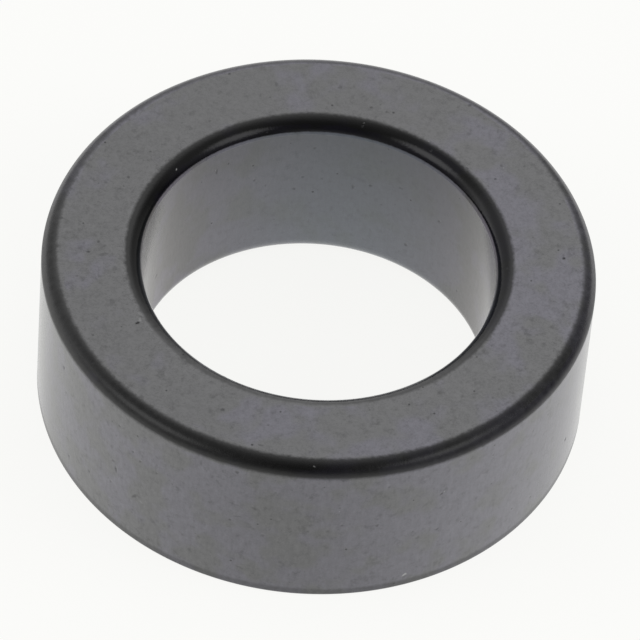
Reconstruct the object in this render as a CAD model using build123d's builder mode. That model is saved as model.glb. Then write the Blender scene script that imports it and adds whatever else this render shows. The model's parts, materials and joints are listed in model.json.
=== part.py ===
from build123d import *
import os

# A bare ferrite ring core: one ring, pressed, sintered and tumbled, with no coating. Millimetres.
# It lies flat, with its origin at the middle of the lower face and +Z up through the bore.

# The ring's size across, and the section of ferrite that carries the flux: wall by height
outer_diameter = 35.5
wall = 6.4
height = 12.4

# Tumbling has rounded both edges of the bore and the upper rim. The lower rim is crisp, just broken.
bore_edge_radius = 1.2
upper_rim_radius = 1.05
lower_rim_chamfer = 0.2

bore_radius = outer_diameter / 2 - wall

with BuildPart() as ring_core:
    # Half section: the wall of the ring, cut through the axis and standing on the lower face
    with BuildSketch(Plane.XZ) as half_section:
        with Locations((bore_radius, 0)):
            Rectangle(wall, height, align=(Align.MIN, Align.MIN))
        fillet(half_section.vertices().group_by(Axis.X)[0], bore_edge_radius)
        fillet(half_section.vertices().group_by(Axis.X)[-1].sort_by(Axis.Y)[-1], upper_rim_radius)
        chamfer(half_section.vertices().group_by(Axis.X)[-1].sort_by(Axis.Y)[0], lower_rim_chamfer)
    revolve(axis=Axis.Z)

ring_core.part.label = "ring_core"
os.makedirs("parts", exist_ok=True)
export_step(ring_core.part, "parts/ring_core.step")
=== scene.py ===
import json
import math
import random
from collections import namedtuple

import bmesh
import bpy
from mathutils import Matrix, Vector


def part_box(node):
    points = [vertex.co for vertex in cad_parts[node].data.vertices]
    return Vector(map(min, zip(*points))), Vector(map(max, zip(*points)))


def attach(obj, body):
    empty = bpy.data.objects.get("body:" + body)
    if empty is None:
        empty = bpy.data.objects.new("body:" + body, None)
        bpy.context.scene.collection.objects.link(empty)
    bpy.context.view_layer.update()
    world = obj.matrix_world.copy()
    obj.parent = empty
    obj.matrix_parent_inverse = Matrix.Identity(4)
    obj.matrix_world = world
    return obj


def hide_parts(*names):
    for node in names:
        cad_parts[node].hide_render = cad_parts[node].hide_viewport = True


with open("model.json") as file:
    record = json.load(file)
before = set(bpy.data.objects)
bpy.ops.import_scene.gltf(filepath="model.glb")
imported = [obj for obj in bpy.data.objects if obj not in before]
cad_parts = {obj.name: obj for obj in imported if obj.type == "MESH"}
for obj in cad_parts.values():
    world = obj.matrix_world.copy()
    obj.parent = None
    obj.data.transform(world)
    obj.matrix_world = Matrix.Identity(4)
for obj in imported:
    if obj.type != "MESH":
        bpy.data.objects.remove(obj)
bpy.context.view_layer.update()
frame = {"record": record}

# A bare ferrite ring core on a white table, in soft studio light.
# Lengths are in millimetres until a mesh is made, and in metres from there on.
MM = 0.001

# The ring's sizes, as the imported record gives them
mounts = {m["name"]: m for m in frame["record"]["mounts"]}
outer_radius = mounts["outer_wall"]["dims"]["r_mm"]
wall_length = mounts["outer_wall"]["dims"]["length_mm"]
wall_middle = mounts["outer_wall"]["pos_m"][2] / MM
bore_radius = mounts["bore"]["dims"]["r_mm"]
bore_length = mounts["bore"]["dims"]["length_mm"]
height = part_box("ring_core")[1].z / MM
bore_edge = (height - bore_length) / 2
upper_rim = height - wall_middle - wall_length / 2
lower_rim = wall_middle - wall_length / 2


def linear(hex_colour):
    """An sRGB hex value as linear red, green, blue and alpha."""
    parts = [int(hex_colour[i:i + 2], 16) / 255 for i in (1, 3, 5)]
    return [p / 12.92 if p <= 0.04045 else ((p + 0.055) / 1.055) ** 2.4 for p in parts] + [1.0]


def towards(azimuth, elevation):
    """A direction. Azimuth 0 is the camera's side of the ring, and 90 is its right."""
    a, e = math.radians(azimuth), math.radians(elevation)
    return Vector((math.sin(a) * math.cos(e), -math.cos(a) * math.cos(e), math.sin(e)))


def place_mesh(name, bm):
    """A finished mesh as an object in the scene."""
    mesh = bpy.data.meshes.new(name)
    bm.to_mesh(mesh)
    bm.free()
    piece = bpy.data.objects.new(name, mesh)
    bpy.context.scene.collection.objects.link(piece)
    return piece


# The camera: a long lens, 42 cm away and 49 degrees above the table, held with a slight roll
CAMERA_DISTANCE = 422.84
CAMERA_ELEVATION = 49.119
CAMERA_ROLL = math.radians(4.780)
SENSOR_WIDTH = 36
LENS = 368.8
AIM_RIGHT = 0.3515
AIM_UP = -0.0155


def make_camera():
    back = towards(0, CAMERA_ELEVATION)
    across = Vector((1, 0, 0))
    above = back.cross(across)
    right = across * math.cos(CAMERA_ROLL) + above * math.sin(CAMERA_ROLL)
    up = above * math.cos(CAMERA_ROLL) - across * math.sin(CAMERA_ROLL)
    middle = Vector((0, 0, height / 2))
    place = middle + back * CAMERA_DISTANCE
    aim = middle + right * AIM_RIGHT + up * AIM_UP
    back = (place - aim).normalized()
    right = (right - back * right.dot(back)).normalized()
    up = back.cross(right)
    camera = bpy.data.objects.new("camera", bpy.data.cameras.new("camera"))
    camera.data.sensor_width = SENSOR_WIDTH
    camera.data.lens = LENS
    camera.matrix_world = Matrix.Translation(place * MM) @ Matrix((right, up, back)).transposed().to_4x4()
    bpy.context.scene.collection.objects.link(camera)
    bpy.context.scene.camera = camera


make_camera()


# The section of the ring, followed from the middle of the lower face outwards and round.
# A corner is its centre, its radius, and the direction its arc starts from and sweeps through.
# Its "face" and "wall" say how far along the arc, from the flat face and from the wall, the tumbled
# black begins and is full. The upper edge of the bore meets the wall at a slight corner.
BORE_CORNER = 15
edge_radius = bore_edge / math.cos(math.radians(BORE_CORNER))
section = [
    {"kind": "flat", "rows": 6},
    {"kind": "lower rim", "rows": 4, "centre": (outer_radius - lower_rim, lower_rim),
     "radius": lower_rim, "from": -90, "sweep": 90, "face": (0.03, 0.12), "wall": (-0.60, -0.28)},
    {"kind": "flat", "rows": 26},
    {"kind": "upper rim", "rows": 15, "centre": (outer_radius - upper_rim, height - upper_rim),
     "radius": upper_rim, "from": 0, "sweep": 90, "face": (0.01, 0.33), "wall": (0.08, 0.38)},
    {"kind": "flat", "rows": 14},
    {"kind": "upper bore edge", "rows": 15, "centre": (bore_radius + bore_edge, height - edge_radius),
     "radius": edge_radius, "from": 90, "sweep": 90 - BORE_CORNER, "face": (-0.03, 0.26),
     "wall": (0.13, 0.26)},
    {"kind": "flat", "rows": 22},
    {"kind": "lower bore edge", "rows": 10, "centre": (bore_radius + bore_edge, bore_edge),
     "radius": bore_edge, "from": 180, "sweep": 90, "face": (0.16, 0.24), "wall": (0.74, 0.98)},
    {"kind": "flat", "rows": 6},
]
# These corners' arcs run from the wall to the face, and the others from the face to the wall
WALL_FIRST = ("upper rim", "lower bore edge")
# A row this near to each end of a flat keeps the flat truly flat, beside the round of the edge
NEAR_EDGE = 0.05

# A row of the lathe: its place on the section, its distance along the outline, the corner nearest
# to it, and how far along that corner's arc it is from the face's and from the wall's side
Row = namedtuple("Row", "radius z along corner from_face from_wall")


def on_arc(corner, swept):
    """The point of a corner's arc after so much of its sweep."""
    turn = math.radians(corner["from"]) + swept
    x, z = corner["centre"]
    return Vector((x + corner["radius"] * math.cos(turn), z + corner["radius"] * math.sin(turn)))


def follow_section():
    """The rows of the lathe, in order along the outline."""
    middle = Vector(((bore_radius + outer_radius) / 2, 0))
    here = middle
    spots, along = [], 0.0
    for number, step in enumerate(section):
        if step["kind"] != "flat":
            step["start"] = along
            for i in range(step["rows"] + 1):
                swept = math.radians(step["sweep"] * i / step["rows"])
                here = on_arc(step, swept)
                spots.append((here.x, here.y, along + step["radius"] * swept))
            along = spots[-1][2]
            step["end"] = along
            continue
        last = number == len(section) - 1
        target = middle if last else on_arc(section[number + 1], 0)
        length = (target - here).length
        distances = [length * i / step["rows"] for i in range(1, step["rows"])]
        distances.insert(0, NEAR_EDGE if number > 0 else 0.0)
        if not last:
            distances.append(length - NEAR_EDGE)
        for distance in distances:
            spot = here + (target - here) * (distance / length)
            spots.append((spot.x, spot.y, along + distance))
        along += length
        here = target
    corners = [step for step in section if step["kind"] != "flat"]
    made = []
    for radius, z, spot_along in spots:
        corner = min(corners, key=lambda c: abs(spot_along - (c["start"] + c["end"]) / 2))
        after_start, before_end = spot_along - corner["start"], corner["end"] - spot_along
        if corner["kind"] in WALL_FIRST:
            made.append(Row(radius, z, spot_along, corner, before_end, after_start))
        else:
            made.append(Row(radius, z, spot_along, corner, after_start, before_end))
    return made


rows = follow_section()


def nearest_row(along):
    """The row nearest to a distance along the outline."""
    return min(rows, key=lambda row: abs(row.along - along))


# Marks that the photo shows. Each is its azimuth, and radius and height on the section, then how
# wide it is round the ring and along the section, its lean, its depth and its tone.
# A tone above 0 is darker than the ferrite round it, with painted shade in its dent, and one below 0 is
# lighter.
PHOTO_MARKS = [
    # On the upper face
    (129.04, 14.430, 12.400, 0.14, 0.10, 0, 0.04, 0.5),
    (128.15, 14.450, 12.400, 0.05, 0.05, 0, 0.01, -0.7),
    (125.99, 13.437, 12.400, 0.11, 0.10, 0, 0.05, 0.7),
    (301.66, 13.051, 12.400, 0.10, 0.20, 10, 0.08, 1.0),
    (300.91, 12.790, 12.400, 0.10, 0.22, 60, 0.03, -0.35),
    (298.90, 12.640, 12.400, 0.18, 0.10, 20, 0.04, -0.25),
    (95.73, 15.643, 12.400, 0.12, 0.11, 0, 0.07, 1.0),
    (350.52, 16.236, 12.400, 0.22, 0.07, 0, 0.04, 0.6),
    (350.79, 14.528, 12.400, 0.10, 0.08, 0, 0.03, 0.4),
    (274.90, 14.771, 12.400, 0.10, 0.16, 0, 0.04, 0.6),
    (275.71, 13.799, 12.400, 0.16, 0.40, 15, 0.02, 0.35),
    (280.77, 13.156, 12.400, 0.22, 0.20, 0, 0.02, 0.35),
    (282.43, 15.622, 12.400, 0.11, 0.10, 0, 0.03, 0.4),
    (292.37, 13.900, 12.400, 0.20, 0.34, 70, 0.02, 0.35),
    (300.59, 16.075, 12.400, 0.12, 0.10, 0, 0.04, 0.5),
    (194.41, 15.087, 12.400, 0.12, 0.26, 0, 0.02, 0.35),
    (187.03, 13.504, 12.400, 0.50, 0.05, 35, 0.01, 0.3),
    (215.86, 13.427, 12.400, 0.10, 0.08, 0, 0.03, 0.4),
    (178.44, 14.825, 12.400, 0.16, 0.20, 0, 0.02, 0.35),
    (133.60, 12.420, 12.400, 0.14, 0.20, 40, 0.03, 0.4),
    (148.99, 12.470, 12.390, 0.10, 0.05, 0, 0.01, -0.3),
    # On the rounded edges
    (235.39, 11.758, 12.102, 0.09, 0.055, 30, 0.02, -0.7),
    (146.64, 12.009, 12.271, 0.12, 0.14, 0, 0.03, 0.6),
    (170.06, 11.908, 12.214, 0.06, 0.12, 0, 0.04, 0.8),
    (169.78, 12.111, 12.317, 0.08, 0.05, 20, 0.01, -0.2),
    (2.45, 17.248, 12.245, 0.09, 0.05, -30, 0.02, -0.35),
    # On the outer wall
    (23.35, 17.750, 1.144, 0.20, 0.10, 30, 0.02, -0.9),
    (69.92, 17.750, 3.597, 0.16, 0.12, 0, 0.06, 1.0),
    (53.71, 17.750, 9.416, 0.08, 0.08, 0, 0.03, 0.5),
    (29.85, 17.750, 8.360, 0.15, 0.09, 35, 0.05, 1.0),
    (30.50, 17.750, 8.490, 0.06, 0.06, 0, 0.01, -0.7),
    (8.25, 17.750, 8.768, 0.07, 0.08, 0, 0.04, 0.8),
    (8.25, 17.750, 8.450, 0.05, 0.05, 0, 0.01, -0.5),
    (18.03, 17.750, 10.381, 0.09, 0.08, 0, 0.03, 0.5),
    (13.65, 17.750, 10.404, 0.14, 0.12, 0, 0.02, 0.3),
    (16.29, 17.750, 6.730, 0.12, 0.14, 0, 0.04, 0.6),
    (9.04, 17.750, 7.046, 0.12, 0.10, 0, 0.03, 0.5),
    (24.14, 17.750, 5.357, 0.13, 0.10, 0, 0.03, 0.5),
    (29.65, 17.750, 4.898, 0.18, 0.12, 0, 0.03, 0.5),
    (25.34, 17.750, 4.648, 0.20, 0.14, 20, 0.02, 0.35),
    (346.15, 17.750, 6.348, 0.12, 0.12, 0, 0.04, 0.6),
    (347.64, 17.750, 6.845, 0.34, 0.07, 10, 0.02, 0.45),
    (350.95, 17.750, 8.017, 0.26, 0.12, -30, 0.02, 0.4),
    (346.45, 17.750, 7.978, 0.46, 0.06, -10, 0.02, 0.4),
    (6.19, 17.750, 6.496, 0.14, 0.16, 0, 0.03, 0.45),
    (2.23, 17.750, 6.444, 0.12, 0.14, 0, 0.03, 0.45),
    (353.11, 17.750, 5.528, 0.15, 0.14, 0, 0.03, 0.45),
    (348.78, 17.750, 1.906, 0.34, 0.07, -15, 0.02, 0.5),
    (339.24, 17.750, 10.888, 0.08, 0.30, 0, 0.02, 0.4),
    (342.91, 17.750, 9.729, 0.09, 0.09, 0, 0.02, 0.35),
    (319.07, 17.750, 10.000, 0.11, 0.10, 0, 0.04, 0.6),
    (318.67, 17.750, 5.602, 0.10, 0.34, 10, 0.05, 0.7),
    (317.83, 17.750, 6.244, 0.22, 0.12, 40, 0.03, 0.5),
    (317.38, 17.750, 4.022, 0.12, 0.10, 0, 0.03, 0.5),
    (329.29, 17.750, 7.904, 0.15, 0.10, 0, 0.03, 0.5),
    (324.20, 17.750, 4.450, 0.12, 0.55, -35, 0.05, 0.6),
    (325.60, 17.750, 4.124, 0.20, 0.18, 0, 0.02, -0.12),
    (326.04, 17.750, 2.480, 0.09, 0.10, 0, 0.03, 0.5),
    (302.73, 17.750, 2.008, 0.13, 0.15, 0, 0.03, 0.5),
    (310.57, 17.750, 3.012, 0.12, 0.12, 0, 0.03, 0.5),
    (298.98, 17.750, 9.503, 0.14, 0.22, 0, 0.04, 0.5),
    # On the wall of the bore
    (219.15, 11.350, 9.841, 0.13, 0.30, 0, 0.03, 0.6),
    (190.52, 11.350, 6.216, 0.14, 0.14, 0, 0.03, 0.5),
    (200.37, 11.350, 6.862, 0.10, 0.10, 0, 0.02, 0.4),
    (181.50, 11.350, 7.242, 0.12, 0.12, 0, 0.02, 0.35),
    (187.93, 11.350, 7.346, 0.14, 0.10, 0, 0.03, 0.5),
    (170.99, 11.350, 6.847, 0.12, 0.24, 0, 0.03, 0.5),
    (154.41, 11.350, 8.160, 0.22, 0.10, 0, 0.02, 0.4),
]


def round_difference(angle, other):
    """Degrees from one azimuth to another, the short way round."""
    return (angle - other + 180) % 360 - 180


def nearness(azimuth, middle, reach):
    """1 at an azimuth, falling softly to 0 at a reach of degrees from it."""
    return 0.5 + 0.5 * math.cos(math.pi * min(abs(round_difference(azimuth, middle)) / reach, 1.0))


def by_place(changes, azimuth):
    """What a list of changes adds up to at an azimuth. Each is an amount, the azimuth where it is
    full, and how many degrees from there it ends."""
    return sum(amount * nearness(azimuth, middle, reach) for amount, middle, reach in changes)


def share_of(distance, band):
    """0 where a band begins, 1 where it is full, and on from there."""
    begin, full = band
    return (distance - begin) / (full - begin)


# The tumbled black isn't even all round. On the upper rim it reaches further onto the face at the
# front and on the left, and further down the wall on the right and on the left.
RIM_ONTO_FACE = [(0.13, 0, 60), (0.14, -60, 90)]
RIM_DOWN_WALL = [(0.30, 80, 75), (0.10, -90, 50)]
# On the bore's upper edge it stays further off the face at the front, and off the wall at the
# sides, and most of all off the wall along a broad stretch at the front
BORE_OFF_FACE = [(0.08, 0, 45)]
BORE_OFF_WALL = [(0.07, 105, 60), (0.07, -105, 60)]
BORE_OFF_WALL_FRONT = 0.75
BORE_FRONT_REACH = 75
BORE_FRONT_BREADTH = 1.8
# The black turns towards grey on the upper rim, at the sides, the back and most of all between
# them, on the bore's upper edge at the front, and all along the lower rim
RIM_GREYED_SIDES = 0.14
RIM_GREYED_BACK = 0.34
RIM_GREYED_BESIDE = [(0.07, 103, 38), (0.07, -103, 38)]
BORE_EDGE_GREYED = [(0.42, -8, 82), (0.14, 48, 30), (0.14, -44, 28)]
LOWER_RIM_GREYED = 0.45
# The bore's upper edge is polished best. The upper rim is duller, most of all up to the first of
# these shares of its round, counted from the wall, and no more from the second on.
BORE_EDGE_ROUGHNESS = 0.10
RIM_ROUGHNESS = 0.25
RIM_FOOT_ROUGHNESS = 0.45
DULL_SHARES = (0.29, 0.51)
# How light the ground grey is, with painted light and shade in it: on the face, where painted light
# makes it a touch lighter on the right; on the outer wall, where painted light makes it lighter beside
# the front; and at the foot and the top of the bore, where painted light from the table makes the foot
# lighter and painted shade makes the top darker, and the second number is how much lighter it is at the back
FACE_PAINTED_LIGHT_RIGHT = 0.03
WALL_SHADE = 0.80
WALL_PAINTED_LIGHT_BESIDE = [(0.14, 42, 45), (0.14, -42, 45)]
BORE_FOOT_PAINTED_LIGHT = (1.22, 0.52)
BORE_TOP_PAINTED_SHADE = (0.62, 0.24)
BORE_PAINTED_LIGHT_CURVE = 1.5
BORE_BACK_REACH = 60
# The narrow ground band between the corner of the bore's upper edge and the black is made lighter
# with painted light, less so at the back
LIP_PAINTED_LIGHT = (1.75, -0.45)
# How much more of the violet cast there is: on the right, on the faces, on the walls, on the upper
# rim at the back and on the left, on the bore's upper edge at the front down to some depth below
# its round, and at the bore's sides
VIOLET_TO_THE_RIGHT = 0.06
VIOLET_ON_FACES = -0.075
VIOLET_ON_WALLS = 0.045
RIM_VIOLET_BACK = 0.30
RIM_VIOLET = [(-0.16, -50, 90)]
BORE_EDGE_VIOLET = [(-0.30, -5, 110)]
BORE_EDGE_VIOLET_DEPTH = 1.0
BORE_VIOLET = [(-0.12, 105, 40), (-0.12, -105, 40)]
# The bore is bluish at its back, and a touch warm at its sides
BORE_BLUE = [(1.0, 172, 60), (-0.65, 105, 40), (-0.65, -105, 40)]
# How strong the mottling is: more so on the face's sides and less at its back, less on the right
# of the wall, and least in the bore
FACE_MOTTLING = 1.0
FACE_MOTTLING_SIDES = 0.25
FACE_MOTTLING_BACK = -0.18
WALL_MOTTLING = 1.12
WALL_MOTTLING_RIGHT = -0.22
BORE_MOTTLING = 0.52
# What lies this near to the upper and the lower face has the finish of a face
UPPER_FACE_DEPTH = 0.3
LOWER_FACE_DEPTH = 0.1
# Shares of a band are kept within this, far beyond where the black begins and is full
FAR_SHARE = 30

# The numbers that make up the finish at a point of the ring, and the light and shade painted into it,
# by which the material shows it
FINISH_AND_PAINTED_LIGHT = ("face_side", "wall_side", "greyed", "polish", "mottling", "lightness_and_painted_light", "bluish", "violet", "on_face")
# The height of the corner in the bore's upper edge, and how near a point counts as on a place
lip = height - edge_radius * (1 - math.sin(math.radians(BORE_CORNER)))
TOLERANCE = 0.01


def finish_and_painted_light_at(azimuth, row):
    """The finish at a point of the ring, with the light and shade painted into it. How far in the black
    is on the face's and on the wall's side is 0 where it begins and 1 where it is full."""
    turn = math.radians(azimuth)
    right, rear = math.sin(turn), max(-math.cos(turn), 0)
    corner = row.corner["kind"]
    from_face, from_wall = row.from_face, row.from_wall
    finish_and_light = {"greyed": 0.0, "polish": RIM_ROUGHNESS, "bluish": 0.0, "violet": 0.0, "on_face": 0.0}
    if corner == "upper rim":
        from_face += by_place(RIM_ONTO_FACE, azimuth)
        from_wall += by_place(RIM_DOWN_WALL, azimuth)
    elif corner == "upper bore edge":
        front = min(1.0, BORE_FRONT_BREADTH * nearness(azimuth, 0, BORE_FRONT_REACH))
        from_face -= by_place(BORE_OFF_FACE, azimuth)
        from_wall -= by_place(BORE_OFF_WALL, azimuth) + BORE_OFF_WALL_FRONT * front
    face_side = share_of(from_face, row.corner["face"])
    wall_side = share_of(from_wall, row.corner["wall"])
    finish_and_light["face_side"] = max(min(face_side, FAR_SHARE), -FAR_SHARE)
    finish_and_light["wall_side"] = max(min(wall_side, FAR_SHARE), -FAR_SHARE)

    if corner == "upper rim":
        swept = math.atan2(row.z - height + upper_rim, row.radius - outer_radius + upper_rim)
        dull = 1 - max(0.0, min(1.0, share_of(swept / (math.pi / 2), DULL_SHARES)))
        finish_and_light["polish"] += (RIM_FOOT_ROUGHNESS - RIM_ROUGHNESS) * dull
        finish_and_light["greyed"] = RIM_GREYED_SIDES * abs(right) + RIM_GREYED_BACK * rear
        finish_and_light["greyed"] += by_place(RIM_GREYED_BESIDE, azimuth)
        if face_side > 0 and wall_side > 0:
            finish_and_light["violet"] = RIM_VIOLET_BACK * rear + by_place(RIM_VIOLET, azimuth)
    elif corner == "upper bore edge":
        finish_and_light["polish"] = BORE_EDGE_ROUGHNESS
        finish_and_light["greyed"] = by_place(BORE_EDGE_GREYED, azimuth)
        if face_side > 0 and row.z > height - bore_edge - BORE_EDGE_VIOLET_DEPTH:
            finish_and_light["violet"] = by_place(BORE_EDGE_VIOLET, azimuth)
    elif corner == "lower rim":
        finish_and_light["greyed"] = LOWER_RIM_GREYED

    finish_and_light["violet"] += VIOLET_TO_THE_RIGHT * right * row.radius / outer_radius
    if row.z > height - UPPER_FACE_DEPTH or row.z < LOWER_FACE_DEPTH:
        finish_and_light["on_face"] = 1.0
        finish_and_light["violet"] += VIOLET_ON_FACES
        # Painted light: the face is a touch lighter on the right
        finish_and_light["lightness_and_painted_light"] = 1.0 + FACE_PAINTED_LIGHT_RIGHT * right
        finish_and_light["mottling"] = FACE_MOTTLING + FACE_MOTTLING_SIDES * abs(right) + FACE_MOTTLING_BACK * rear
    elif row.radius > outer_radius - upper_rim:
        finish_and_light["violet"] += VIOLET_ON_WALLS
        # Painted light: the wall is lighter beside the front
        finish_and_light["lightness_and_painted_light"] = WALL_SHADE + by_place(WALL_PAINTED_LIGHT_BESIDE, azimuth)
        finish_and_light["mottling"] = WALL_MOTTLING + WALL_MOTTLING_RIGHT * right
    else:
        # Painted light from the table lightens the bore's foot and its back, and painted shade darkens its
        # top at the sides
        back = nearness(azimuth, 180, BORE_BACK_REACH)
        foot = BORE_FOOT_PAINTED_LIGHT[0] + BORE_FOOT_PAINTED_LIGHT[1] * back
        top = BORE_TOP_PAINTED_SHADE[0] + BORE_TOP_PAINTED_SHADE[1] * back
        finish_and_light["violet"] += VIOLET_ON_WALLS + by_place(BORE_VIOLET, azimuth)
        finish_and_light["lightness_and_painted_light"] = foot + (top - foot) * min(row.z / (height - bore_edge), 1.0) ** BORE_PAINTED_LIGHT_CURVE
        # Painted light on the narrow band between the bore's corner and the black
        if row.z > lip - TOLERANCE:
            finish_and_light["lightness_and_painted_light"] *= LIP_PAINTED_LIGHT[0] + LIP_PAINTED_LIGHT[1] * back
        finish_and_light["bluish"] = by_place(BORE_BLUE, azimuth)
        finish_and_light["mottling"] = BORE_MOTTLING
    return finish_and_light


def along_outline(radius, z):
    """Where on the outline a point of the section lies."""
    spots = sorted((math.hypot(row.radius - radius, row.z - z), row.along) for row in rows)
    (near, first), (far, second) = spots[0], spots[1]
    return first + (second - first) * near / max(near + far, 1e-9)


# How many marks are scattered besides the photo's. Of those that would fall on the wall that the
# photo shows, up to an azimuth on each side, a share is left out.
SCATTERED = 60
SHOWN_WALL = 75
LEFT_OUT = 0.6
# What they are like: how tall, how wide for their height, how leaning, how deep and how dark
SIZES = (0.08, 0.16)
WIDENINGS = (0.8, 1.5)
LEANS = (-40, 40)
DEPTHS = (0.02, 0.05)
TONES = (0.3, 0.8)


def scatter_marks():
    """More small pits and scuffs of the same kinds, all round the ring and underneath."""
    chance = random.Random(41)
    made = []
    total = rows[-1].along
    while len(made) < SCATTERED:
        azimuth, along = chance.uniform(0, 360), chance.uniform(0, total)
        on_wall = nearest_row(along).radius > outer_radius - TOLERANCE
        if on_wall and abs(round_difference(azimuth, 0)) < SHOWN_WALL and chance.random() < LEFT_OUT:
            continue
        size = chance.uniform(*SIZES)
        made.append((azimuth, along, size * chance.uniform(*WIDENINGS), size, chance.uniform(*LEANS),
                     chance.uniform(*DEPTHS), chance.uniform(*TONES)))
    return made


# The lathe's steps round the ring, and how many cuts go into a cell under a mark and how far
# beyond the mark
SEGMENTS = 400
FINER_CUTS = 4
FINER_REACH = 1.1


def divide_under(bm, cells, marks):
    """Divides the mesh more finely under each mark."""
    edges = set()
    starts = [row.along for row in rows]
    ends = starts[1:] + [starts[-1] + NEAR_EDGE]
    for azimuth, along, wide, tall, *_ in marks:
        reach = max(wide, tall) * FINER_REACH
        half = math.degrees(reach / nearest_row(along).radius)
        first = math.floor((azimuth - half) * SEGMENTS / 360)
        last = math.floor((azimuth + half) * SEGMENTS / 360)
        for number in range(len(rows)):
            if ends[number] > along - reach and starts[number] < along + reach:
                for segment in range(first, last + 1):
                    edges.update(cells[segment % SEGMENTS, number].edges)
    bm.edges.index_update()
    edges = sorted(edges, key=lambda edge: edge.index)
    bmesh.ops.subdivide_edges(bm, edges=edges, cuts=FINER_CUTS, use_grid_fill=True)
    bmesh.ops.recalc_face_normals(bm, faces=bm.faces[:])
    bm.normal_update()


# No mark reaches further from its middle than this. Two waves round its outline make it ragged,
# turned by where it lies so that no two are alike, and its tone is full well before its middle.
MARK_REACH = 0.6
WAVE_OF_THREE = 0.22
WAVE_OF_FIVE = 0.15
WAVE_TURN = 7
TONE_SPREAD = 1.6


def dent(bm, layers, marks):
    """Sinks each mark into the mesh, gives it its tone, and brings the mesh to metres."""
    for vert in bm.verts:
        azimuth = math.degrees(math.atan2(vert.co.x, -vert.co.y))
        radius = math.hypot(vert.co.x, vert.co.y)
        sink = 0.0
        for mark_azimuth, mark_along, wide, tall, lean, depth, tone in marks:
            upwards = vert[layers["outline"]] - mark_along
            if abs(upwards) > MARK_REACH:
                continue
            sideways = math.radians(round_difference(azimuth, mark_azimuth)) * radius
            if abs(sideways) > MARK_REACH:
                continue
            turn = math.radians(lean)
            a = sideways * math.cos(turn) + upwards * math.sin(turn)
            b = upwards * math.cos(turn) - sideways * math.sin(turn)
            bearing = math.atan2(b, a)
            ragged = 1 + WAVE_OF_THREE * math.sin(3 * bearing + mark_along * WAVE_TURN)
            ragged += WAVE_OF_FIVE * math.sin(5 * bearing + mark_azimuth)
            share = max(0.0, 1 - ((a / wide) ** 2 + (b / tall) ** 2) / ragged)
            sink += depth * share * share
            vert[layers["mark"]] += tone * min(1.0, TONE_SPREAD * share)
        vert.co = (vert.co - vert.normal * sink) * MM


def make_ring():
    """The ring as a lathe of the section, with a finer mesh and a real dent at every mark."""
    marks = [(azimuth, along_outline(radius, z), *rest) for azimuth, radius, z, *rest in PHOTO_MARKS]
    marks += scatter_marks()
    bm = bmesh.new()
    layers = {name: bm.verts.layers.float.new(name) for name in ("outline", "mark", *FINISH_AND_PAINTED_LIGHT)}
    grid = []
    for segment in range(SEGMENTS):
        azimuth = 360 * segment / SEGMENTS
        column = []
        for row in rows:
            vert = bm.verts.new(towards(azimuth, 0) * row.radius + Vector((0, 0, row.z)))
            vert[layers["outline"]] = row.along
            for name, value in finish_and_painted_light_at(azimuth, row).items():
                vert[layers[name]] = value
            column.append(vert)
        grid.append(column)
    cells = {}
    for segment in range(SEGMENTS):
        left, right = grid[segment], grid[(segment + 1) % SEGMENTS]
        for number in range(len(rows)):
            after = (number + 1) % len(rows)
            cells[segment, number] = bm.faces.new((left[number], right[number], right[after], left[after]))
    divide_under(bm, cells, marks)
    dent(bm, layers, marks)
    for face in bm.faces:
        face.smooth = True
    return place_mesh("ferrite_ring", bm)


# How Blender numbers the sockets of its Mix node
FACTOR, NUMBER_A, NUMBER_B, COLOUR_A, COLOUR_B = 0, 2, 3, 6, 7
MIXED_NUMBER, MIXED_COLOUR = 0, 2


def add_node(tree, kind, settings, inputs):
    """Adds a node with its settings. An input takes a value, or a link from another node."""
    node = tree.nodes.new(kind)
    for name, value in settings.items():
        setattr(node, name, value)
    for name, value in inputs.items():
        if isinstance(value, bpy.types.NodeSocket):
            tree.links.new(value, node.inputs[name])
        else:
            node.inputs[name].default_value = value
    return node


def start_material(name):
    """A material with no nodes in it yet, and its node tree."""
    material = bpy.data.materials.new(name)
    material.use_nodes = True
    material.node_tree.nodes.clear()
    return material, material.node_tree


def per_metre(size):
    """The scale of a pattern whose features are this many millimetres across."""
    return 1 / (size * MM)


# Sintered manganese-zinc ferrite, a black spinel ceramic. The press and the grinder leave the
# flats and the walls a satin grey with a faint violet cast; tumbling polishes the edges to black.
GROUND_NEUTRAL = "#5b5b5c"
GROUND_VIOLET = "#605f66"
BORE_BLUISH = "#575e63"
TUMBLED_BLACK = "#060606"
TUMBLED_VIOLET = "#08070e"
# Painted shade in the hollows of pits and pores
PIT_PAINTED_SHADE = "#1c1c1e"
SPECK_GREY = "#a8a8a8"
FERRITE_IOR = 1.55
FACE_ROUGHNESS = 0.28
WALL_ROUGHNESS = 0.15

# Each pattern's real size in millimetres, its detail and its roughness. Ferrite grains are about
# 0.01 mm, too fine to show, so the grain is drawn as coarse as the camera can see.
PATTERNS = {
    "clouds": (3.4, 2.0, 0.6),
    "smudges": (0.6, 3.0, 0.7),
    "blotches": (0.42, 2.0, 0.6),
    "border": (0.30, 3.0, 0.6),
    "drag": (0.22, 2.0, 0.6),
    "grain": (0.11, 2.0, 0.6),
}
DRAG_LENGTH = 0.9
PORE_SPACING = 0.8
PORE_RADIUS = 0.055

# How strong each effect is: the values of a pattern between which it comes in, or the share by
# which it lightens and darkens
CLOUD_BAND = (0.42, 0.58)
BLUISH_STRENGTH = 0.6
SMUDGE_BAND = (0.51, 0.73)
SMUDGE_LIGHT, SMUDGE_DARK = 0.04, -0.23
UNEVEN_BAND = (1.0, 2.0)
SPECKLE = 0.19
SMEAR = 0.2
BORDER_SWING = {"face_side": 0.4, "wall_side": 0.2}
BLOTCH_BAND = (0.3, 0.7)
PATCHINESS = 0.3
CELLS_WITHOUT_PORE = 0.55
PORE_BORDER = 0.05
PIT_SHADE_STRENGTH = 0.85
SPECK_STRENGTH = 0.7
RELIEF_STRENGTH = 0.25
RELIEF_DEPTH = 0.02


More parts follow.
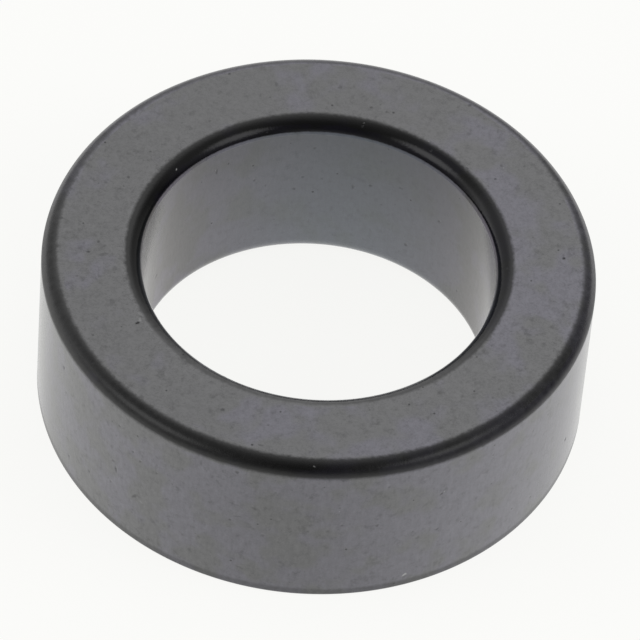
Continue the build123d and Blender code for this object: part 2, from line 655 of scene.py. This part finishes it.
def ferrite_material():
    material, tree = start_material("sintered_ferrite_ground_and_tumbled_with_painted_light")
    # The finish that each point of the ring has been given
    given = {}
    for name in ("mark", *FINISH_AND_PAINTED_LIGHT):
        given[name] = add_node(tree, "ShaderNodeAttribute", {"attribute_name": name}, {}).outputs["Fac"]
    # The drag lines are drawn out upwards: the walls slid along the die as the ring left the press
    place = add_node(tree, "ShaderNodeTexCoord", {}, {}).outputs["Object"]
    drawn_out = add_node(tree, "ShaderNodeMapping", {}, {
        "Vector": place, "Scale": (1.0, 1.0, PATTERNS["drag"][0] / DRAG_LENGTH)}).outputs["Vector"]
    pattern = {}
    for name, (size, detail, roughness) in PATTERNS.items():
        pattern[name] = add_node(tree, "ShaderNodeTexNoise", {}, {
            "Vector": drawn_out if name == "drag" else place, "Scale": per_metre(size),
            "Detail": detail, "Roughness": roughness}).outputs["Fac"]

    # Clouds: faint violet and neutral areas, from uneven oxygen in the kiln
    cast = add_node(tree, "ShaderNodeMath", {"operation": "ADD"}, {
        0: pattern["clouds"], 1: given["violet"]}).outputs[0]
    violet = add_node(tree, "ShaderNodeMapRange", {"interpolation_type": "SMOOTHSTEP"}, {
        "Value": cast, "From Min": CLOUD_BAND[0], "From Max": CLOUD_BAND[1]}).outputs["Result"]
    tint = add_node(tree, "ShaderNodeMix", {"data_type": "RGBA"}, {
        FACTOR: violet, COLOUR_A: linear(GROUND_NEUTRAL), COLOUR_B: linear(GROUND_VIOLET),
    }).outputs[MIXED_COLOUR]
    bluish = add_node(tree, "ShaderNodeMath", {"operation": "MULTIPLY"}, {
        0: given["bluish"], 1: BLUISH_STRENGTH}).outputs[0]
    ground = add_node(tree, "ShaderNodeMix", {"data_type": "RGBA", "clamp_factor": False}, {
        FACTOR: bluish, COLOUR_A: tint, COLOUR_B: linear(BORE_BLUISH)}).outputs[MIXED_COLOUR]

    # Speckle: grain, drag lines and blotches, a fine and a coarser unevenness of light and dark
    fine = add_node(tree, "ShaderNodeMath", {"operation": "ADD"}, {
        0: pattern["grain"], 1: pattern["drag"]}).outputs[0]
    uneven = add_node(tree, "ShaderNodeMath", {"operation": "ADD"}, {
        0: fine, 1: pattern["blotches"]}).outputs[0]
    speckle = add_node(tree, "ShaderNodeMapRange", {"clamp": False}, {
        "Value": uneven, "From Min": UNEVEN_BAND[0], "From Max": UNEVEN_BAND[1],
        "To Min": -SPECKLE, "To Max": SPECKLE}).outputs["Result"]
    # Smudges: sparse darker spots, smeared rather than sharp
    smudged = add_node(tree, "ShaderNodeMapRange", {"interpolation_type": "SMOOTHSTEP"}, {
        "Value": pattern["smudges"], "From Min": SMUDGE_BAND[0], "From Max": SMUDGE_BAND[1],
        "To Min": SMUDGE_LIGHT, "To Max": SMUDGE_DARK}).outputs["Result"]
    mottled = add_node(tree, "ShaderNodeMath", {"operation": "ADD"}, {0: speckle, 1: smudged}).outputs[0]
    brightness = add_node(tree, "ShaderNodeMath", {"operation": "MULTIPLY_ADD"}, {
        0: mottled, 1: given["mottling"], 2: 1.0}).outputs[0]
    # The ground grey is scaled by each point's lightness, which holds painted light and shade
    brightness = add_node(tree, "ShaderNodeMath", {"operation": "MULTIPLY"}, {
        0: brightness, 1: given["lightness_and_painted_light"]}).outputs[0]
    ground = add_node(tree, "ShaderNodeVectorMath", {"operation": "SCALE"}, {
        "Vector": ground, "Scale": brightness}).outputs["Vector"]

    # The border of the tumbled black, worn ragged
    inside = {}
    for side, swing in BORDER_SWING.items():
        shift = add_node(tree, "ShaderNodeMapRange", {"clamp": False}, {
            "Value": pattern["border"], "To Min": -swing, "To Max": swing}).outputs["Result"]
        worn = add_node(tree, "ShaderNodeMath", {"operation": "ADD"}, {0: given[side], 1: shift}).outputs[0]
        inside[side] = add_node(tree, "ShaderNodeMapRange", {"interpolation_type": "SMOOTHSTEP"}, {
            "Value": worn}).outputs["Result"]
    tumbled = add_node(tree, "ShaderNodeMath", {"operation": "MULTIPLY"}, {
        0: inside["face_side"], 1: inside["wall_side"]}).outputs[0]
    # Where the black turns grey, it does so in small patches
    patchy = add_node(tree, "ShaderNodeMapRange", {"clamp": False}, {
        "Value": pattern["blotches"], "From Min": BLOTCH_BAND[0], "From Max": BLOTCH_BAND[1],
        "To Min": 1 - PATCHINESS, "To Max": 1 + PATCHINESS}).outputs["Result"]
    greyed = add_node(tree, "ShaderNodeMath", {"operation": "MULTIPLY", "use_clamp": True}, {
        0: given["greyed"], 1: patchy}).outputs[0]
    black = add_node(tree, "ShaderNodeMix", {"data_type": "RGBA"}, {
        FACTOR: violet, COLOUR_A: linear(TUMBLED_BLACK), COLOUR_B: linear(TUMBLED_VIOLET),
    }).outputs[MIXED_COLOUR]
    black = add_node(tree, "ShaderNodeMix", {"data_type": "RGBA"}, {
        FACTOR: greyed, COLOUR_A: black, COLOUR_B: tint}).outputs[MIXED_COLOUR]
    colour = add_node(tree, "ShaderNodeMix", {"data_type": "RGBA"}, {
        FACTOR: tumbled, COLOUR_A: ground, COLOUR_B: black}).outputs[MIXED_COLOUR]

    # Pores: one in a few cells of the pattern holds a small open pore
    pores = add_node(tree, "ShaderNodeTexVoronoi", {}, {"Vector": place, "Scale": per_metre(PORE_SPACING)})
    pore_kind = add_node(tree, "ShaderNodeSeparateColor", {}, {
        "Color": pores.outputs["Color"]}).outputs["Red"]
    pore_size = add_node(tree, "ShaderNodeMapRange", {}, {
        "Value": pore_kind, "From Min": CELLS_WITHOUT_PORE, "From Max": 1.0, "To Min": 0.0,
        "To Max": 2 * PORE_RADIUS / PORE_SPACING}).outputs["Result"]
    pore_depth = add_node(tree, "ShaderNodeMath", {"operation": "SUBTRACT"}, {
        0: pore_size, 1: pores.outputs["Distance"]}).outputs[0]
    pore = add_node(tree, "ShaderNodeMapRange", {"interpolation_type": "SMOOTHSTEP"}, {
        "Value": pore_depth, "From Min": 0.0, "From Max": PORE_BORDER}).outputs["Result"]
    # Pores and dark marks go towards black, as painted shade in their hollows, and light marks towards pale
    # grey
    pit_shade = add_node(tree, "ShaderNodeMath", {"operation": "MAXIMUM"}, {0: pore, 1: given["mark"]}).outputs[0]
    pit_shade = add_node(tree, "ShaderNodeMath", {"operation": "MULTIPLY", "use_clamp": True}, {
        0: pit_shade, 1: PIT_SHADE_STRENGTH}).outputs[0]
    colour = add_node(tree, "ShaderNodeMix", {"data_type": "RGBA"}, {
        FACTOR: pit_shade, COLOUR_A: colour, COLOUR_B: linear(PIT_PAINTED_SHADE)}).outputs[MIXED_COLOUR]
    light = add_node(tree, "ShaderNodeMath", {"operation": "MULTIPLY", "use_clamp": True}, {
        0: given["mark"], 1: -SPECK_STRENGTH}).outputs[0]
    colour = add_node(tree, "ShaderNodeMix", {"data_type": "RGBA"}, {
        FACTOR: light, COLOUR_A: colour, COLOUR_B: linear(SPECK_GREY)}).outputs[MIXED_COLOUR]

    # Gloss: satin on the faces, smoother on the walls that the die has burnished, and semi-gloss
    # where tumbling has polished the ferrite
    satin = add_node(tree, "ShaderNodeMix", {"data_type": "FLOAT"}, {
        FACTOR: given["on_face"], NUMBER_A: WALL_ROUGHNESS, NUMBER_B: FACE_ROUGHNESS,
    }).outputs[MIXED_NUMBER]
    gloss = add_node(tree, "ShaderNodeMix", {"data_type": "FLOAT"}, {
        FACTOR: tumbled, NUMBER_A: satin, NUMBER_B: given["polish"]}).outputs[MIXED_NUMBER]
    smear = add_node(tree, "ShaderNodeMapRange", {"clamp": False}, {
        "Value": uneven, "From Min": UNEVEN_BAND[0], "From Max": UNEVEN_BAND[1],
        "To Min": 1 - SMEAR, "To Max": 1 + SMEAR}).outputs["Result"]
    roughness = add_node(tree, "ShaderNodeMath", {"operation": "MULTIPLY"}, {0: gloss, 1: smear}).outputs[0]

    # Relief: the grain stands a few microns proud, and a pore is a small hole
    relief = add_node(tree, "ShaderNodeMath", {"operation": "SUBTRACT"}, {0: uneven, 1: pore}).outputs[0]
    bump = add_node(tree, "ShaderNodeBump", {}, {
        "Height": relief, "Strength": RELIEF_STRENGTH, "Distance": RELIEF_DEPTH * MM}).outputs["Normal"]
    surface = add_node(tree, "ShaderNodeBsdfPrincipled", {}, {
        "Base Color": colour, "Roughness": roughness, "IOR": FERRITE_IOR, "Normal": bump})
    add_node(tree, "ShaderNodeOutputMaterial", {}, {"Surface": surface.outputs["BSDF"]})
    return material


ring = make_ring()
ring.data.materials.append(ferrite_material())
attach(ring, "root")
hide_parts("ring_core")

# The table: a white sheet of acrylic that is lit from below, so it keeps only a trace of shadow.
# It glows at one level for what is seen or mirrored, and at the other for what it lights.
TABLE_WHITE = "#fbfbf9"
TABLE_RADIUS = 2000
TABLE_GAP = 0.02
TABLE_GLOW_SEEN = 0.92
TABLE_GLOW_CAST = 0.85


def make_table():
    bm = bmesh.new()
    bmesh.ops.create_circle(bm, cap_ends=True, segments=128, radius=TABLE_RADIUS * MM,
                            matrix=Matrix.Translation((0, 0, -TABLE_GAP * MM)))
    table = place_mesh("light_table", bm)
    material, tree = start_material("opal_acrylic_lit_from_below")
    material.cycles.emission_sampling = "NONE"
    path = add_node(tree, "ShaderNodeLightPath", {}, {}).outputs
    seen = path["Is Camera Ray"]
    for kind in ("Is Glossy Ray", "Is Transmission Ray"):
        seen = add_node(tree, "ShaderNodeMath", {"operation": "MAXIMUM"}, {
            0: seen, 1: path[kind]}).outputs[0]
    share = add_node(tree, "ShaderNodeMix", {"data_type": "FLOAT"}, {
        FACTOR: seen, NUMBER_A: TABLE_GLOW_CAST, NUMBER_B: TABLE_GLOW_SEEN}).outputs[MIXED_NUMBER]
    matt = add_node(tree, "ShaderNodeBsdfDiffuse", {}, {"Color": linear(TABLE_WHITE)})
    glow = add_node(tree, "ShaderNodeEmission", {}, {"Color": linear(TABLE_WHITE), "Strength": 1.0})
    both = add_node(tree, "ShaderNodeMixShader", {}, {
        0: share, 1: matt.outputs["BSDF"], 2: glow.outputs["Emission"]})
    add_node(tree, "ShaderNodeOutputMaterial", {}, {"Surface": both.outputs["Shader"]})
    table.data.materials.append(material)


make_table()

# A black card stands on the right, out of the picture, and only reflections show it
CARD_BLACK = "#0c0c0c"
CARD_DISTANCE = 45
CARD_NEAR, CARD_FAR = -50, 13
CARD_HEIGHT = 12.4


def make_card():
    bm = bmesh.new()
    corners = [(CARD_NEAR, 0), (CARD_FAR, 0), (CARD_FAR, CARD_HEIGHT), (CARD_NEAR, CARD_HEIGHT)]
    bm.faces.new([bm.verts.new(Vector((CARD_DISTANCE, y, z)) * MM) for y, z in corners])
    card = place_mesh("black_card", bm)
    card.visible_camera = False
    card.visible_diffuse = False
    card.visible_shadow = False
    material, tree = start_material("matt_black_card")
    matt = add_node(tree, "ShaderNodeBsdfDiffuse", {}, {"Color": linear(CARD_BLACK)})
    add_node(tree, "ShaderNodeOutputMaterial", {}, {"Surface": matt.outputs["BSDF"]})
    card.data.materials.append(material)


make_card()

# What the ferrite mirrors: a pale studio that is darker in places, with a dark camera stand and two
# softboxes. Each is a soft round patch on the sky: azimuth, elevation, the angles from its middle at
# which it is full and ends, and its brightness, where the table is 1. It covers those before it.
STUDIO_BASE = 0.89
STUDIO = [
    ("far wall", 180, 0, 10, 50, 0.80),
    ("high on the left", -79, 61, 14, 41, 0.25),
    ("right side of the room", 83, -10, 48, 80, 0.00),
    ("left side of the room", -57, -2, 1, 51, 0.14),
    ("high on the right", 59, 46, 15, 59, 0.23),
    ("far left", -126, 26, 1, 32, 0.40),
    ("far right", 140, 3, 1, 42, 0.25),
    ("far left, low", -147, 3, 1, 26, 0.42),
    ("camera and its stand", -2, 37, 6, 54, 0.085),
    ("right softbox", 56, 35, 1, 20, 1.08),
    ("left softbox", -62, 37, 1, 21, 1.17),
]
# The white background that the camera sees, and the even light that falls on the ferrite
BACKGROUND = 0.985
LIGHT_LEVEL = 0.80


def make_studio():
    world = bpy.data.worlds.new("white_studio")
    bpy.context.scene.world = world
    world.use_nodes = True
    world.cycles.sampling_method = "NONE"
    tree = world.node_tree
    tree.nodes.clear()
    direction = add_node(tree, "ShaderNodeTexCoord", {}, {}).outputs["Generated"]
    mirrored = STUDIO_BASE
    for _, azimuth, elevation, full, end, brightness in STUDIO:
        facing = add_node(tree, "ShaderNodeVectorMath", {"operation": "DOT_PRODUCT"}, {
            0: direction, 1: towards(azimuth, elevation)}).outputs["Value"]
        share = add_node(tree, "ShaderNodeMapRange", {"interpolation_type": "SMOOTHSTEP"}, {
            "Value": facing, "From Min": math.cos(math.radians(end)),
            "From Max": math.cos(math.radians(full))}).outputs["Result"]
        mirrored = add_node(tree, "ShaderNodeMix", {"data_type": "FLOAT"}, {
            FACTOR: share, NUMBER_A: mirrored, NUMBER_B: brightness}).outputs[MIXED_NUMBER]
    path = add_node(tree, "ShaderNodeLightPath", {}, {}).outputs
    level = add_node(tree, "ShaderNodeMix", {"data_type": "FLOAT"}, {
        FACTOR: path["Is Glossy Ray"], NUMBER_A: LIGHT_LEVEL, NUMBER_B: mirrored}).outputs[MIXED_NUMBER]
    level = add_node(tree, "ShaderNodeMix", {"data_type": "FLOAT"}, {
        FACTOR: path["Is Camera Ray"], NUMBER_A: level, NUMBER_B: BACKGROUND}).outputs[MIXED_NUMBER]
    sky = add_node(tree, "ShaderNodeBackground", {}, {"Color": (1, 1, 1, 1), "Strength": level})
    add_node(tree, "ShaderNodeOutputWorld", {}, {"Surface": sky.outputs["Background"]})


make_studio()

# The lamps, one on each side: azimuth, elevation and power in watts, a metre away
SOFTBOXES = [("right_softbox", 80, 33, 3.4), ("left_softbox", -80, 36, 2.0)]
SOFTBOX_SIZE = 0.55


def make_softboxes():
    for name, azimuth, elevation, power in SOFTBOXES:
        lamp = bpy.data.lights.new(name, "AREA")
        lamp.shape = "DISK"
        lamp.size = SOFTBOX_SIZE
        lamp.energy = power
        softbox = bpy.data.objects.new(name, lamp)
        bpy.context.scene.collection.objects.link(softbox)
        away = towards(azimuth, elevation)
        softbox.location = away
        softbox.rotation_mode = "QUATERNION"
        softbox.rotation_quaternion = away.to_track_quat("Z", "Y")
        softbox.visible_camera = False
        softbox.visible_glossy = False


make_softboxes()

bpy.context.scene.view_settings.view_transform = "Standard"
